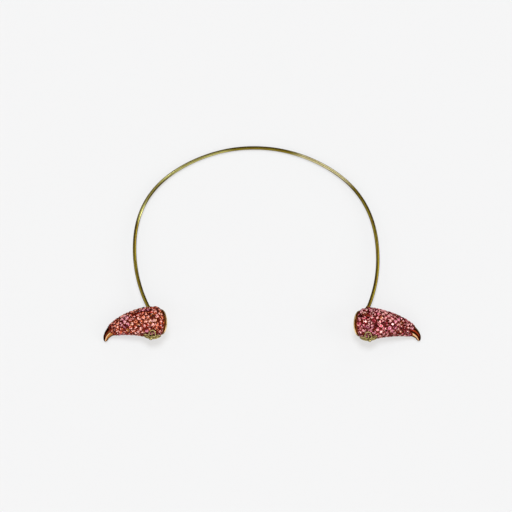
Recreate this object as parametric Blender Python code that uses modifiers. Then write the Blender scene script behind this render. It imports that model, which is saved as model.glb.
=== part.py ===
"""A wire tiara lying on a table: a springy round wire, bent to an open loop, whose two ends are let
into hollow horns set with pink stones. Run it with blender --background --python part.py.

Metres, +Z up. +X runs to the wearer's horn on the right of the picture, +Y to the loop's crown, and the
floor that the tiara lies on is Z = 0. The origin is the middle of the whole object, on that floor."""

import math

import bmesh
import bpy
from mathutils import Matrix, Vector

# Wire loop, seen from above: a squarish half ellipse over its widest line and a plain one under it.
# BENDS are the waves that the bender's hands left over the widest line: half waves across the loop, and
# how far each stands out.
WIRE_DIAMETER = 0.0021
LOOP_HALF_WIDTH = 0.0730
CROWN_HEIGHT = 0.0640
CROWN_SQUARENESS = 2.1
LOWER_HALF_HEIGHT = 0.0745
LOOP_LEAN = 0.040
BENDS = ((2, 0.0006), (3, 0.0009), (5, 0.0007))
WIRE_END_DROP = 0.0356
WIRE_POINTS = 52
WIRE_BEVEL_RESOLUTION = 3

# Horns: the depth is a horn's height off the floor, and the crest its share over the widest line
HORN_DEPTH = 0.0152
CREST_SHARE = 0.58
BELLY_FLAT = 0.0006
TIP_LIFT = 0.0010
BASE_SLANT = math.radians(25)
SLANT_REACH = 0.70
WALL = 0.0014
CAVITY_REACH = 0.62
SIDES_ROUND = 20
RINGS_ALONG = 14
NOSE_RINGS = 3
CAVITY_SIDES = 16
CAVITY_RINGS = 6
TRAVEL_STEPS = 80

# One row for each section: shares of the horn's length, of its drop, of its width and of its depth
SECTION_COLUMNS = ("along", "drop", "width", "depth")
HORN_SECTIONS = (
    (0.000, 0.000, 0.790, 0.860),
    (0.030, 0.000, 0.890, 0.930),
    (0.080, 0.000, 0.965, 0.985),
    (0.150, 0.000, 0.985, 1.000),
    (0.280, 0.000, 0.910, 0.940),
    (0.430, 0.040, 0.795, 0.860),
    (0.570, 0.120, 0.685, 0.770),
    (0.660, 0.195, 0.600, 0.680),
    (0.750, 0.290, 0.515, 0.570),
    (0.850, 0.440, 0.400, 0.440),
    (0.930, 0.620, 0.290, 0.330),
    (0.985, 0.850, 0.200, 0.230),
    (1.000, 1.000, 0.150, 0.170),
)

# The two castings were finished by hand and aren't mirror copies. wire_entry is how far out from the
# base the wire goes in, and wire_depth how far its end reaches under the back.
HORN_COLUMNS = ("side", "outward", "length", "width", "drop", "wire_entry", "wire_depth")
HORNS = (
    ("left", -1, 0.0326, 0.0187, 0.0105, 0.00475, 0.0040),
    ("right", 1, 0.0348, 0.0190, 0.0092, 0.00265, 0.0030),
)
CLEARANCE = 0.0003

# Pave: stones in staggered rings over the crest and both flanks, with bare metal at rim, tip and belly
STONE_DIAMETER = 0.0025
SMALLEST_STONE_SHARE = 0.78
STONE_GAP = 0.00025
LENGTH_STEP = 0.0002
FLANK_STEP = math.radians(2)
STONE_FACETS = 8
TABLE_SHARE = 0.54
STONE_RISE = 0.0005
GIRDLE_SINK = 0.00025
PAVILION_DEPTH = 0.0007
RIM_WIDTH = 0.0009
BARE_TIP = 0.0068
FLANK_REACH = math.radians(12)

# Closing plate of a horn's base
PLATE_THICKNESS = 0.0008
PLATE_OVERHANG = 0.0003
PLATE_EDGE_ROUNDING = 0.00025

# Leaf sprig of bent wire on the lower flank, near the base: three leaves fanned from a round boss.
# A leaf's direction is turned from the way to the tip towards the crest.
SPRIG_WIRE = 0.0008
SPRIG_ALONG = 0.0060
SPRIG_ANGLE = math.radians(158)
SPRIG_BOSS_DIAMETER = 0.0022
LEAF_POINTS = 10
RIB_PARTS = (0.0, 0.4, 0.8)
LEAF_COLUMNS = ("direction", "length", "width")
LEAVES = (
    (math.radians(24), 0.0050, 0.0027),
    (math.radians(88), 0.0064, 0.0032),
    (math.radians(148), 0.0046, 0.0027),
)


def clear_scene():
    for thing in list(bpy.data.objects):
        bpy.data.objects.remove(thing, do_unlink=True)


def new_collection(name):
    collection = bpy.data.collections.new(name)
    bpy.context.scene.collection.children.link(collection)
    return collection


def principled(name, colour, roughness, metallic):
    material = bpy.data.materials.new(name)
    material.use_nodes = True
    shader = material.node_tree.nodes["Principled BSDF"]
    shader.inputs["Base Color"].default_value = (*colour, 1.0)
    shader.inputs["Roughness"].default_value = roughness
    shader.inputs["Metallic"].default_value = metallic
    return material


def smooth_between(knots, values, at):
    """The value at a place between the knots, on a smooth curve through all of them."""
    last = len(knots) - 1
    index = max(i for i in range(last) if i == 0 or knots[i] <= at)

    def slope(i):
        before, after = max(i - 1, 0), min(i + 1, last)
        return (values[after] - values[before]) / (knots[after] - knots[before])

    span = knots[index + 1] - knots[index]
    t = (at - knots[index]) / span
    start, end = values[index], values[index + 1]
    return (
        start * (2 * t**3 - 3 * t**2 + 1)
        + slope(index) * span * (t**3 - 2 * t**2 + t)
        + end * (3 * t**2 - 2 * t**3)
        + slope(index + 1) * span * (t**3 - t**2)
    )


def wire_point(angle):
    """A point on the wire's centreline. Angle 0 is at the right, on the widest line, and 90 degrees the crown."""
    across, up = math.cos(angle), math.sin(angle)
    if up >= 0:
        power = 2 / CROWN_SQUARENESS
        bow = up * sum(height * math.sin(waves * angle) for waves, height in BENDS)
        x = LOOP_HALF_WIDTH * math.copysign(abs(across) ** power, across) + bow * across
        y = CROWN_HEIGHT * up**power + bow * up
    else:
        x = LOOP_HALF_WIDTH * across
        y = LOWER_HALF_HEIGHT * up
    return Vector((x - LOOP_LEAN * y, y, wire_height(y)))


def wire_height(y):
    """The wire lies in one plane, from its seat inside the horns down to the floor at the crown."""
    seat_height = horn_centre_height(1.0) - BELLY_FLAT
    fall = (y + WIRE_END_DROP) / (CROWN_HEIGHT + WIRE_END_DROP)
    return seat_height + (WIRE_DIAMETER / 2 - seat_height) * fall


def horn_centre_height(depth_share):
    """How high a section's widest line would stand if its belly weren't filed flat."""
    return HORN_DEPTH * depth_share * (1 - CREST_SHARE)


def wire_end_angle():
    return math.asin(WIRE_END_DROP / LOWER_HALF_HEIGHT)


def wire_path():
    start, end = -wire_end_angle(), math.pi + wire_end_angle()
    return [
        wire_point(start + (end - start) * i / (WIRE_POINTS - 1))
        for i in range(WIRE_POINTS)
    ]


class Horn:
    """The outside of one horn, as a function of the share along it and the angle round it."""

    def __init__(self, row):
        sizes = dict(zip(HORN_COLUMNS, row))
        self.side = sizes["side"]
        self.outward = sizes["outward"]
        self.length = sizes["length"]
        self.width = sizes["width"]
        self.drop = sizes["drop"]
        self.wire_entry = sizes["wire_entry"] / self.length
        end = wire_point(
            -wire_end_angle() if self.outward > 0 else math.pi + wire_end_angle()
        )
        entry = self.section(self.wire_entry)
        self.base = Vector(
            (
                end.x - self.outward * sizes["wire_entry"],
                end.y - entry["width"] / 2 + sizes["wire_depth"],
                0.0,
            )
        )
        self.travels = [0.0]
        for i in range(1, TRAVEL_STEPS + 1):
            here, before = (
                self.frame(step / TRAVEL_STEPS)[1].xy for step in (i, i - 1)
            )
            self.travels.append(self.travels[-1] + (here - before).length)

    def share_at(self, travel):
        """The share of the length at a distance travelled along the centreline from the base."""
        before = max(i for i in range(TRAVEL_STEPS) if i == 0 or self.travels[i] <= travel)
        step = self.travels[before + 1] - self.travels[before]
        return (before + (travel - self.travels[before]) / step) / TRAVEL_STEPS

    def section(self, share):
        """The section's place and sizes, in metres."""
        knots = [row[0] for row in HORN_SECTIONS]
        at = dict(
            zip(
                SECTION_COLUMNS,
                (
                    smooth_between(knots, column, share)
                    for column in zip(*HORN_SECTIONS)
                ),
            )
        )
        return {
            "along": share * self.length,
            "drop": at["drop"] * self.drop,
            "width": at["width"] * self.width,
            "crest": at["depth"] * HORN_DEPTH * CREST_SHARE,
            "belly": at["depth"] * HORN_DEPTH * (1 - CREST_SHARE),
        }

    def frame(self, share):
        """The centre of the section, the way to the tip and the way to the horn's back, all level."""
        step = 0.004
        here, low, high = (
            self.section(min(max(share + move, 0.0), 1.0)) for move in (0, -step, step)
        )
        towards_tip = Vector(
            (
                self.outward * (high["along"] - low["along"]),
                low["drop"] - high["drop"],
                0.0,
            )
        ).normalized()
        towards_back = Vector(
            (-towards_tip.y, towards_tip.x, 0.0)
        ) * self.outward
        height = here["belly"] - BELLY_FLAT + TIP_LIFT * share**3
        centre = self.base + Vector(
            (self.outward * here["along"], -here["drop"], height)
        )
        return here, centre, towards_tip, towards_back

    def point(self, share, angle, lift=0.0, shrink=1.0, push=0.0):
        """A point on the horn, or lifted off it. Angle 0 is at the back, 90 degrees the crest, 180 the front.
        Shrink draws the section in towards its centre, and push moves it towards the tip."""
        section, centre, towards_tip, towards_back = self.frame(share)
        half_height = section["crest"] if math.sin(angle) >= 0 else section["belly"]
        across = (section["width"] / 2 + lift) * shrink * math.cos(angle)
        rise = (half_height + lift) * shrink * math.sin(angle)
        floor = max(0.0, -lift)
        rise = max(rise, floor - centre.z)
        slant = math.tan(BASE_SLANT) * max(0.0, 1 - share / SLANT_REACH)
        return (
            centre
            + towards_back * across
            + towards_tip * (push - rise * slant)
            + Vector((0.0, 0.0, rise))
        )

    def seat(self, share, angle, lift=0.0):
        """A matrix that sets a piece on the metal there, its Z straight out and its X towards the tip."""
        step = 0.005
        here = self.point(share, angle)
        along = self.point(share + step, angle) - self.point(share - step, angle)
        around = self.point(share, angle + step) - self.point(share, angle - step)
        out = along.cross(around).normalized() * -self.outward
        x_axis = (along - out * along.dot(out)).normalized()
        y_axis = out.cross(x_axis)
        turn = Matrix((x_axis, y_axis, out)).transposed().to_4x4()
        return Matrix.Translation(here + out * lift) @ turn

    def ring(self, share, sides, **changes):
        return [
            self.point(share, 2 * math.pi * i / sides, **changes) for i in range(sides)
        ]

    def nose_rings(self, sides):
        """Rings that round the tip off over half its own width."""
        reach = self.section(1.0)["width"] / 2
        turns = [math.pi / 2 * i / (NOSE_RINGS + 0.5) for i in range(1, NOSE_RINGS + 1)]
        return [
            self.ring(1.0, sides, shrink=math.cos(turn), push=reach * math.sin(turn))
            for turn in turns
        ]


def lofted_mesh(name, rings):
    """A closed skin through rings of equally many points, capped flat at both ends."""
    bm = bmesh.new()
    loops = [[bm.verts.new(point) for point in ring] for ring in rings]
    sides = len(loops[0])
    for near, far in zip(loops, loops[1:]):
        for i in range(sides):
            j = (i + 1) % sides
            bm.faces.new((near[i], near[j], far[j], far[i]))
    bm.faces.new(loops[0])
    bm.faces.new(loops[-1])
    bmesh.ops.recalc_face_normals(bm, faces=bm.faces)
    mesh = bpy.data.meshes.new(name)
    bm.to_mesh(mesh)
    bm.free()
    return mesh


def add_object(name, data, collection, material=None):
    thing = bpy.data.objects.new(name, data)
    collection.objects.link(thing)
    if material:
        data.materials.append(material)
    return thing


def add_helper(name, data, cutters):
    helper = add_object(name, data, cutters)
    helper.hide_render = True
    helper.display_type = "WIRE"
    return helper


def boolean(thing, helper, operation):
    modifier = thing.modifiers.new(helper.name, "BOOLEAN")
    modifier.operation = operation
    modifier.solver = "EXACT"
    modifier.object = helper


def tube_curve(name, paths, diameter, resolution, cyclic=False):
    """Round wire along each path, with its ends filled."""
    curve = bpy.data.curves.new(name, "CURVE")
    curve.dimensions = "3D"
    curve.bevel_depth = diameter / 2
    curve.bevel_resolution = resolution
    curve.use_fill_caps = not cyclic
    for path in paths:
        spline = curve.splines.new("POLY")
        spline.points.add(len(path) - 1)
        spline.use_cyclic_u = cyclic
        for target, point in zip(spline.points, path):
            target.co = (*point, 1.0)
    return curve


def mesh_from_curve(name, curve, collection):
    """The curve's tube as a closed mesh object of its own."""
    source = bpy.data.objects.new(name, curve)
    collection.objects.link(source)
    bpy.context.view_layer.update()
    graph = bpy.context.evaluated_depsgraph_get()
    mesh = bpy.data.meshes.new_from_object(source.evaluated_get(graph))
    bpy.data.objects.remove(source)
    bm = bmesh.new()
    bm.from_mesh(mesh)
    bmesh.ops.remove_doubles(bm, verts=bm.verts, dist=0.00001)
    bmesh.ops.recalc_face_normals(bm, faces=bm.faces)
    bm.to_mesh(mesh)
    bm.free()
    return mesh


def make_wire(parts, gold):
    curve = tube_curve(
        "band_wire", [wire_path()], WIRE_DIAMETER, WIRE_BEVEL_RESOLUTION
    )
    wire = add_object("band_wire", curve, parts, gold)
    for spline in curve.splines:
        spline.use_smooth = True
    return wire


def stone_size(horn, share):
    """Stones grow smaller with the horn, from the base to the tip."""
    fullness = horn.section(share)["width"] / horn.width
    return STONE_DIAMETER * (
        SMALLEST_STONE_SHARE + (1 - SMALLEST_STONE_SHARE) * min(fullness, 1.0)
    )


def pave_seats(horn):
    """Share along, angle round and diameter of every stone on one horn. From the rim to the tip, and from
    the crest down both flanks, a stone is set wherever those already set leave it room."""
    travel = RIM_WIDTH + STONE_DIAMETER / 2
    last = horn.travels[-1] - BARE_TIP
    turns = [FLANK_STEP * i for i in range(int((math.pi / 2 + FLANK_REACH) / FLANK_STEP))]
    hole = horn.point(horn.wire_entry, 0.0)
    boss = horn.point(SPRIG_ALONG / horn.length, SPRIG_ANGLE)
    seats, middles = [], []
    while travel < last:
        share = horn.share_at(travel)
        diameter = stone_size(horn, share)
        taken = [(hole, (diameter + WIRE_DIAMETER) / 2 + CLEARANCE)]
        taken.append((boss, (diameter + SPRIG_BOSS_DIAMETER) / 2))
        taken += [(middle, (diameter + size) / 2 + STONE_GAP) for middle, size in middles]
        for turn in turns:
            for angle in (math.pi / 2 + turn, math.pi / 2 - turn):
                here = horn.point(share, angle)
                if all((here - middle).length >= reach for middle, reach in taken):
                    seats.append((share, angle, diameter))
                    middles.append((here, diameter))
                    taken.append((here, diameter + STONE_GAP))
        travel += LENGTH_STEP
    return seats


def stone_mesh():
    """A stone one metre wide: an eight-sided crown with a flat table, and a pointed pavilion under its girdle."""
    bm = bmesh.new()
    crown = (GIRDLE_SINK + STONE_RISE) / STONE_DIAMETER
    bmesh.ops.create_cone(
        bm,
        cap_ends=True,
        segments=STONE_FACETS,
        radius1=0.5,
        radius2=TABLE_SHARE / 2,
        depth=crown,
    )
    underside = min(bm.faces, key=lambda face: face.calc_center_median().z)
    poked = bmesh.ops.poke(bm, faces=[underside])
    for culet in poked["verts"]:
        culet.co.z -= PAVILION_DEPTH / STONE_DIAMETER
    mesh = bpy.data.meshes.new("stone")
    bm.to_mesh(mesh)
    bm.free()
    return mesh


def make_stones(horn, seats, cutters):
    """Every stone of one horn in one helper mesh, each seated square to the metal under it."""
    single = stone_mesh()
    bm = bmesh.new()
    for share, angle, diameter in seats:
        middle = (STONE_RISE - GIRDLE_SINK) / 2 * diameter / STONE_DIAMETER
        place = horn.seat(share, angle, lift=middle) @ Matrix.Diagonal(
            (diameter, diameter, diameter, 1.0)
        )
        before = len(bm.verts)
        bm.from_mesh(single)
        bm.verts.ensure_lookup_table()
        bmesh.ops.transform(bm, matrix=place, verts=bm.verts[before:])
    mesh = bpy.data.meshes.new("stones_" + horn.side)
    bm.to_mesh(mesh)
    bm.free()
    bpy.data.meshes.remove(single)
    return add_helper("stones_" + horn.side, mesh, cutters)


def make_horn(horn, parts, cutters, pave):
    """The cast shell with its stones fused in, hollow from the base, and bored for the wire's end."""
    spacing = horn.travels[-1] / RINGS_ALONG
    rings = [
        horn.ring(horn.share_at(i * spacing), SIDES_ROUND)
        for i in range(RINGS_ALONG + 1)
    ]
    rings += horn.nose_rings(SIDES_ROUND)
    shell = add_object(
        "horn_" + horn.side, lofted_mesh("horn_" + horn.side, rings), parts, pave
    )

    cavity_rings = [horn.ring(0.0, CAVITY_SIDES, lift=-WALL, push=-2 * WALL)]
    for i in range(1, CAVITY_RINGS + 1):
        share = CAVITY_REACH * i / CAVITY_RINGS
        cavity_rings.append(horn.ring(share, CAVITY_SIDES, lift=-WALL))
    cavity = add_helper(
        "cavity_" + horn.side,
        lofted_mesh("cavity_" + horn.side, cavity_rings),
        cutters,
    )

    path = wire_path()
    at_end = path[:4] if horn.outward > 0 else path[-4:]
    bore_curve = tube_curve(
        "bore_" + horn.side, [at_end], WIRE_DIAMETER + 2 * CLEARANCE, 3
    )
    bore = add_helper(
        "bore_" + horn.side,
        mesh_from_curve("bore_" + horn.side, bore_curve, cutters),
        cutters,
    )

    boolean(shell, make_stones(horn, pave_seats(horn), cutters), "UNION")
    boolean(shell, cavity, "DIFFERENCE")
    boolean(shell, bore, "DIFFERENCE")
    return shell


def make_plate(horn, parts, gold):
    """The flat plate that closes a horn's base and lies against the hair."""
    near = -CLEARANCE - PLATE_THICKNESS
    rings = [
        horn.ring(0.0, SIDES_ROUND, lift=PLATE_OVERHANG, push=push)
        for push in (near, -CLEARANCE)
    ]
    plate = add_object(
        "base_plate_" + horn.side,
        lofted_mesh("base_plate_" + horn.side, rings),
        parts,
        gold,
    )
    bevel = plate.modifiers.new("edges", "BEVEL")
    bevel.width = PLATE_EDGE_ROUNDING
    bevel.segments = 1
    bevel.limit_method = "ANGLE"
    bevel.angle_limit = math.radians(40)
    return plate


def sprig_point(horn, towards_tip, towards_crest, lift):
    """A point over the horn's flank, measured in metres from the sprig's boss."""
    share = (SPRIG_ALONG + towards_tip) / horn.length
    section = horn.section(max(share, 0.0))
    radius = (section["width"] / 2 + section["crest"]) / 2
    return horn.seat(share, SPRIG_ANGLE - towards_crest / radius, lift).translation


def make_sprig(horn, parts, cutters, gold):
    """Open leaves of bent wire with their ribs, joined at a round boss."""
    lift = STONE_RISE + CLEARANCE + SPRIG_WIRE / 2
    name = "leaf_sprig_" + horn.side
    outlines, ribs = [], []
    for row in LEAVES:
        leaf = dict(zip(LEAF_COLUMNS, row))
        direction = Vector((math.cos(leaf["direction"]), math.sin(leaf["direction"])))
        tip = direction * leaf["length"]
        sideways = Vector((-direction.y, direction.x)) * leaf["width"] / 2
        outline = []
        for i in range(LEAF_POINTS):
            turn = 2 * math.pi * i / LEAF_POINTS
            along = (1 - math.cos(turn)) / 2
            flat = tip * along + sideways * math.sin(turn)
            outline.append(sprig_point(horn, flat.x, flat.y, lift))
        outlines.append(outline)
        ribs.append(
            [sprig_point(horn, *(tip * part), lift) for part in RIB_PARTS]
        )

    boss_place = horn.seat(
        SPRIG_ALONG / horn.length, SPRIG_ANGLE, CLEARANCE + SPRIG_BOSS_DIAMETER / 2
    )
    bm = bmesh.new()
    bmesh.ops.create_uvsphere(
        bm, u_segments=10, v_segments=6, radius=SPRIG_BOSS_DIAMETER / 2
    )
    bmesh.ops.transform(bm, matrix=boss_place, verts=bm.verts)
    mesh = bpy.data.meshes.new(name)
    bm.to_mesh(mesh)
    bm.free()
    sprig = add_object(name, mesh, parts, gold)
    for label, paths, cyclic in (("outline", outlines, True), ("rib", ribs, False)):
        for i, path in enumerate(paths):
            part_name = f"{label}_{i}_{horn.side}"
            curve = tube_curve(part_name, [path], SPRIG_WIRE, 1, cyclic)
            helper = add_helper(
                part_name, mesh_from_curve(part_name, curve, cutters), cutters
            )
            boolean(sprig, helper, "UNION")
    return sprig


def stand_on_origin(pieces):
    """Hangs the pieces on one empty and moves it, so that the origin is under the middle of the whole."""
    bpy.context.view_layer.update()
    graph = bpy.context.evaluated_depsgraph_get()
    points = []
    for piece in pieces:
        shown = piece.evaluated_get(graph)
        points += [shown.matrix_world @ vertex.co for vertex in shown.to_mesh().vertices]
        shown.to_mesh_clear()
    middle = Vector(
        [(max(p[i] for p in points) + min(p[i] for p in points)) / 2 for i in (0, 1)]
    )
    tiara = bpy.data.objects.new("tiara_place", None)
    bpy.context.scene.collection.objects.link(tiara)
    for piece in pieces:
        piece.parent = tiara
    for helper in bpy.data.collections["cutters"].objects:
        helper.parent = tiara
    tiara.location = (-middle.x, -middle.y, 0.0)


def main():
    clear_scene()
    parts = new_collection("tiara")
    cutters = new_collection("cutters")
    gold = principled("gold", (0.62, 0.50, 0.20), 0.22, 1.0)
    pave = principled("pink_pave", (0.55, 0.22, 0.22), 0.18, 0.6)

    pieces = [make_wire(parts, gold)]
    for row in HORNS:
        horn = Horn(row)
        pieces.append(make_horn(horn, parts, cutters, pave))
        pieces.append(make_plate(horn, parts, gold))
        pieces.append(make_sprig(horn, parts, cutters, gold))
    stand_on_origin(pieces)


main()
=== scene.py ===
# A wire tiara with two horns paved in pink stones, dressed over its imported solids.
# Metres. +X is the picture's right, +Y its top, and the tiara lies on Z = 0.
import math

import bmesh
import bpy
import numpy as np
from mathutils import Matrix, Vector, noise
from mathutils.bvhtree import BVHTree


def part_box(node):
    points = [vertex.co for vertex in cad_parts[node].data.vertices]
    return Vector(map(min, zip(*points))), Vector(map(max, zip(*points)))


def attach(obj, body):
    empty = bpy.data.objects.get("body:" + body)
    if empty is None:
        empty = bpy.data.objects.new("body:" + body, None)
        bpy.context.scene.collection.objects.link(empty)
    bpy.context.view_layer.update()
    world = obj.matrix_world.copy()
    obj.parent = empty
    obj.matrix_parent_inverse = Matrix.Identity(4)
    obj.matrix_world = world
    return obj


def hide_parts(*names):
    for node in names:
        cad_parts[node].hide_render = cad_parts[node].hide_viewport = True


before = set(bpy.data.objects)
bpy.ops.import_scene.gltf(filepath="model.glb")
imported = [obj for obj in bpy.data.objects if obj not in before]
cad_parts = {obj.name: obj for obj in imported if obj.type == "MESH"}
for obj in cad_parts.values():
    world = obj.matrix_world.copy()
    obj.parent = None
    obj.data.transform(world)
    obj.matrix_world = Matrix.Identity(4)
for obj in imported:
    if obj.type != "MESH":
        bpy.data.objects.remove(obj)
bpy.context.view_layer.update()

rootBody = "root"
fullTurn = 2 * math.pi


# Node helpers: a link stands for one output socket and can be reckoned with
class Link:
    def __init__(self, nodes, socket):
        self.nodes = nodes
        self.socket = socket

    def reckon(self, operation, first, second):
        return self.nodes.add("ShaderNodeMath", {"operation": operation}, {0: first, 1: second})

    def __add__(self, other):
        return self.reckon("ADD", self, other)

    def __sub__(self, other):
        return self.reckon("SUBTRACT", self, other)

    def __rsub__(self, other):
        return self.reckon("SUBTRACT", other, self)

    def __mul__(self, other):
        return self.reckon("MULTIPLY", self, other)

    __radd__ = __add__
    __rmul__ = __mul__


class Nodes:
    def __init__(self, tree):
        self.tree = tree

    def add(self, kind, settings=None, sockets=None, output=0):
        node = self.tree.nodes.new(kind)
        for name, value in (settings or {}).items():
            setattr(node, name, value)
        for name, value in (sockets or {}).items():
            self.feed(node.inputs[name], value)
        return Link(self, node.outputs[output])

    def feed(self, socket, value):
        if isinstance(value, Link):
            self.tree.links.new(value.socket, socket)
        else:
            socket.default_value = value

    def noise(self, vector, scale, detail=3.0, roughness=0.55):
        sockets = {"Vector": vector, "Scale": scale, "Detail": detail, "Roughness": roughness}
        return self.add("ShaderNodeTexNoise", None, sockets, "Fac")

    def cells(self, vector, scale):
        return self.add("ShaderNodeTexVoronoi", None, {"Vector": vector, "Scale": scale}, "Color")

    def vector(self, operation, *values, output=0):
        settings = {"operation": operation}
        return self.add("ShaderNodeVectorMath", settings, dict(enumerate(values)), output)

    def mix(self, factor, first, second, blend="MIX"):
        settings = {"data_type": "RGBA", "blend_type": blend}
        return self.add("ShaderNodeMix", settings, {0: factor, 6: first, 7: second}, 2)

    def step(self, value, low, high):  # 0 below low, 1 above high, smooth between
        sockets = {"Value": value, "From Min": low, "From Max": high}
        return self.add("ShaderNodeMapRange", {"interpolation_type": "SMOOTHSTEP"}, sockets)

    def grey(self, value):
        return self.add("ShaderNodeCombineColor", None, {"Red": value, "Green": value, "Blue": value})

    def attribute(self, name, output="Fac"):
        return self.add("ShaderNodeAttribute", {"attribute_name": name}, None, output)


class Finish(Nodes):  # one material's nodes and its Principled shader
    def __init__(self, name):
        self.material = bpy.data.materials.new(name)
        self.material.use_nodes = True
        super().__init__(self.material.node_tree)
        self.shader = self.tree.nodes["Principled BSDF"]

    def place(self):
        return self.add("ShaderNodeTexCoord", None, None, "Object")

    def set(self, **sockets):
        for name, value in sockets.items():
            self.feed(self.shader.inputs[name.replace("_", " ")], value)

    def metal(self, colour, roughness, texture):  # roughness: its least, and what the texture adds
        least, more = roughness
        self.set(Base_Color=colour, Metallic=1.0, Roughness=least + more * texture)

    def bump(self, height, strength, distance):
        sockets = {"Height": height, "Strength": strength, "Distance": distance}
        self.feed(self.shader.inputs["Normal"], self.add("ShaderNodeBump", None, sockets))


def rgb(red, green, blue):
    return (red, green, blue, 1.0)


# The band's line: a squarish half ellipse over its widest line and a plain one under it. Its bends are
# the waves that the bender's hands left: half waves across the loop, and how far each stands out.
band = {
    "diameter": 0.0021,
    "halfWidth": 0.0730,
    "crownHeight": 0.0640,
    "crownSquareness": 2.1,
    "lowerHeight": 0.0745,
    "lean": 0.040,
    "bends": ((2, 0.0006), (3, 0.0009), (5, 0.0007)),
    "endDrop": 0.0356,
    "pathPoints": 240,
    "sides": 20,
}

# A horn's section: shares of its length, of its drop, of its width and of its depth
hornRows = (
    (0.000, 0.000, 0.790, 0.860),
    (0.030, 0.000, 0.890, 0.930),
    (0.080, 0.000, 0.965, 0.985),
    (0.150, 0.000, 0.985, 1.000),
    (0.280, 0.000, 0.910, 0.940),
    (0.430, 0.040, 0.795, 0.860),
    (0.570, 0.120, 0.685, 0.770),
    (0.660, 0.195, 0.600, 0.680),
    (0.750, 0.290, 0.515, 0.570),
    (0.850, 0.440, 0.400, 0.440),
    (0.930, 0.620, 0.290, 0.330),
    (0.985, 0.850, 0.200, 0.230),
    (1.000, 1.000, 0.150, 0.170),
)
hornForm = {
    "depth": 0.0152,
    "crestShare": 0.58,
    "bellyFlat": 0.0006,
    "tipLift": 0.0010,
    "baseSlant": math.radians(25),
    "slantReach": 0.70,
    "wall": 0.0014,
    "cavityReach": 0.62,
    "clearance": 0.0003,
    "sides": 168,
    "rings": 132,
    "noseRings": 10,
    "noseTaper": 0.28,
    "cavityRings": 8,
    "travelSteps": 80,
    "placeStep": 0.004,
    "seatStep": 0.005,
}
hornSides = {
    "left": {
        "outward": -1,
        "length": 0.0326,
        "width": 0.0187,
        "drop": 0.0105,
        "wireEntry": 0.00475,
        "wireDepth": 0.0040,
        "backShadeShift": 0.45,
        "tintSeed": 7,
    },
    "right": {
        "outward": 1,
        "length": 0.0348,
        "width": 0.0190,
        "drop": 0.0092,
        "wireEntry": 0.00265,
        "wireDepth": 0.0030,
        "backShadeShift": 0.75,
        "tintSeed": 11,
    },
}


def smoothBetween(knots, values, at):  # a smooth line through a table's values
    last = len(knots) - 1
    index = max(i for i in range(last) if i == 0 or knots[i] <= at)

    def slope(i):
        before, after = max(i - 1, 0), min(i + 1, last)
        return (values[after] - values[before]) / (knots[after] - knots[before])

    span = knots[index + 1] - knots[index]
    t = (at - knots[index]) / span
    return (
        values[index] * (2 * t**3 - 3 * t**2 + 1)
        + slope(index) * span * (t**3 - 2 * t**2 + t)
        + values[index + 1] * (3 * t**2 - 2 * t**3)
        + slope(index + 1) * span * (t**3 - t**2)
    )


def centreHeight(depthShare):
    return hornForm["depth"] * depthShare * (1 - hornForm["crestShare"])


def bandHeight(y):  # the wire lies in one plane, from the horns down to the floor at the crown
    seatHeight = centreHeight(1.0) - hornForm["bellyFlat"]
    fall = (y + band["endDrop"]) / (band["crownHeight"] + band["endDrop"])
    return seatHeight + (band["diameter"] / 2 - seatHeight) * fall


def bandPoint(angle):
    across, up = math.cos(angle), math.sin(angle)
    if up >= 0:
        power = 2 / band["crownSquareness"]
        bow = up * sum(height * math.sin(waves * angle) for waves, height in band["bends"])
        x = band["halfWidth"] * math.copysign(abs(across) ** power, across) + bow * across
        y = band["crownHeight"] * up**power + bow * up
    else:
        x = band["halfWidth"] * across
        y = band["lowerHeight"] * up
    return Vector((x - band["lean"] * y, y, bandHeight(y)))


def bandEndAngle():
    return math.asin(band["endDrop"] / band["lowerHeight"])


def bandPath():
    start, end = -bandEndAngle(), math.pi + bandEndAngle()
    last = band["pathPoints"] - 1
    return [bandPoint(start + (end - start) * i / last) for i in range(last + 1)]


def loopOrigin():  # where the widest line's middle lies in the frame
    low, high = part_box("band_wire")
    path = bandPath()
    across = (min(point.x for point in path) + max(point.x for point in path)) / 2
    crown = max(point.y for point in path) + band["diameter"] / 2
    return Vector(((low.x + high.x) / 2 - across, high.y - crown, 0.0))


loopPlace = loopOrigin()


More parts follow.
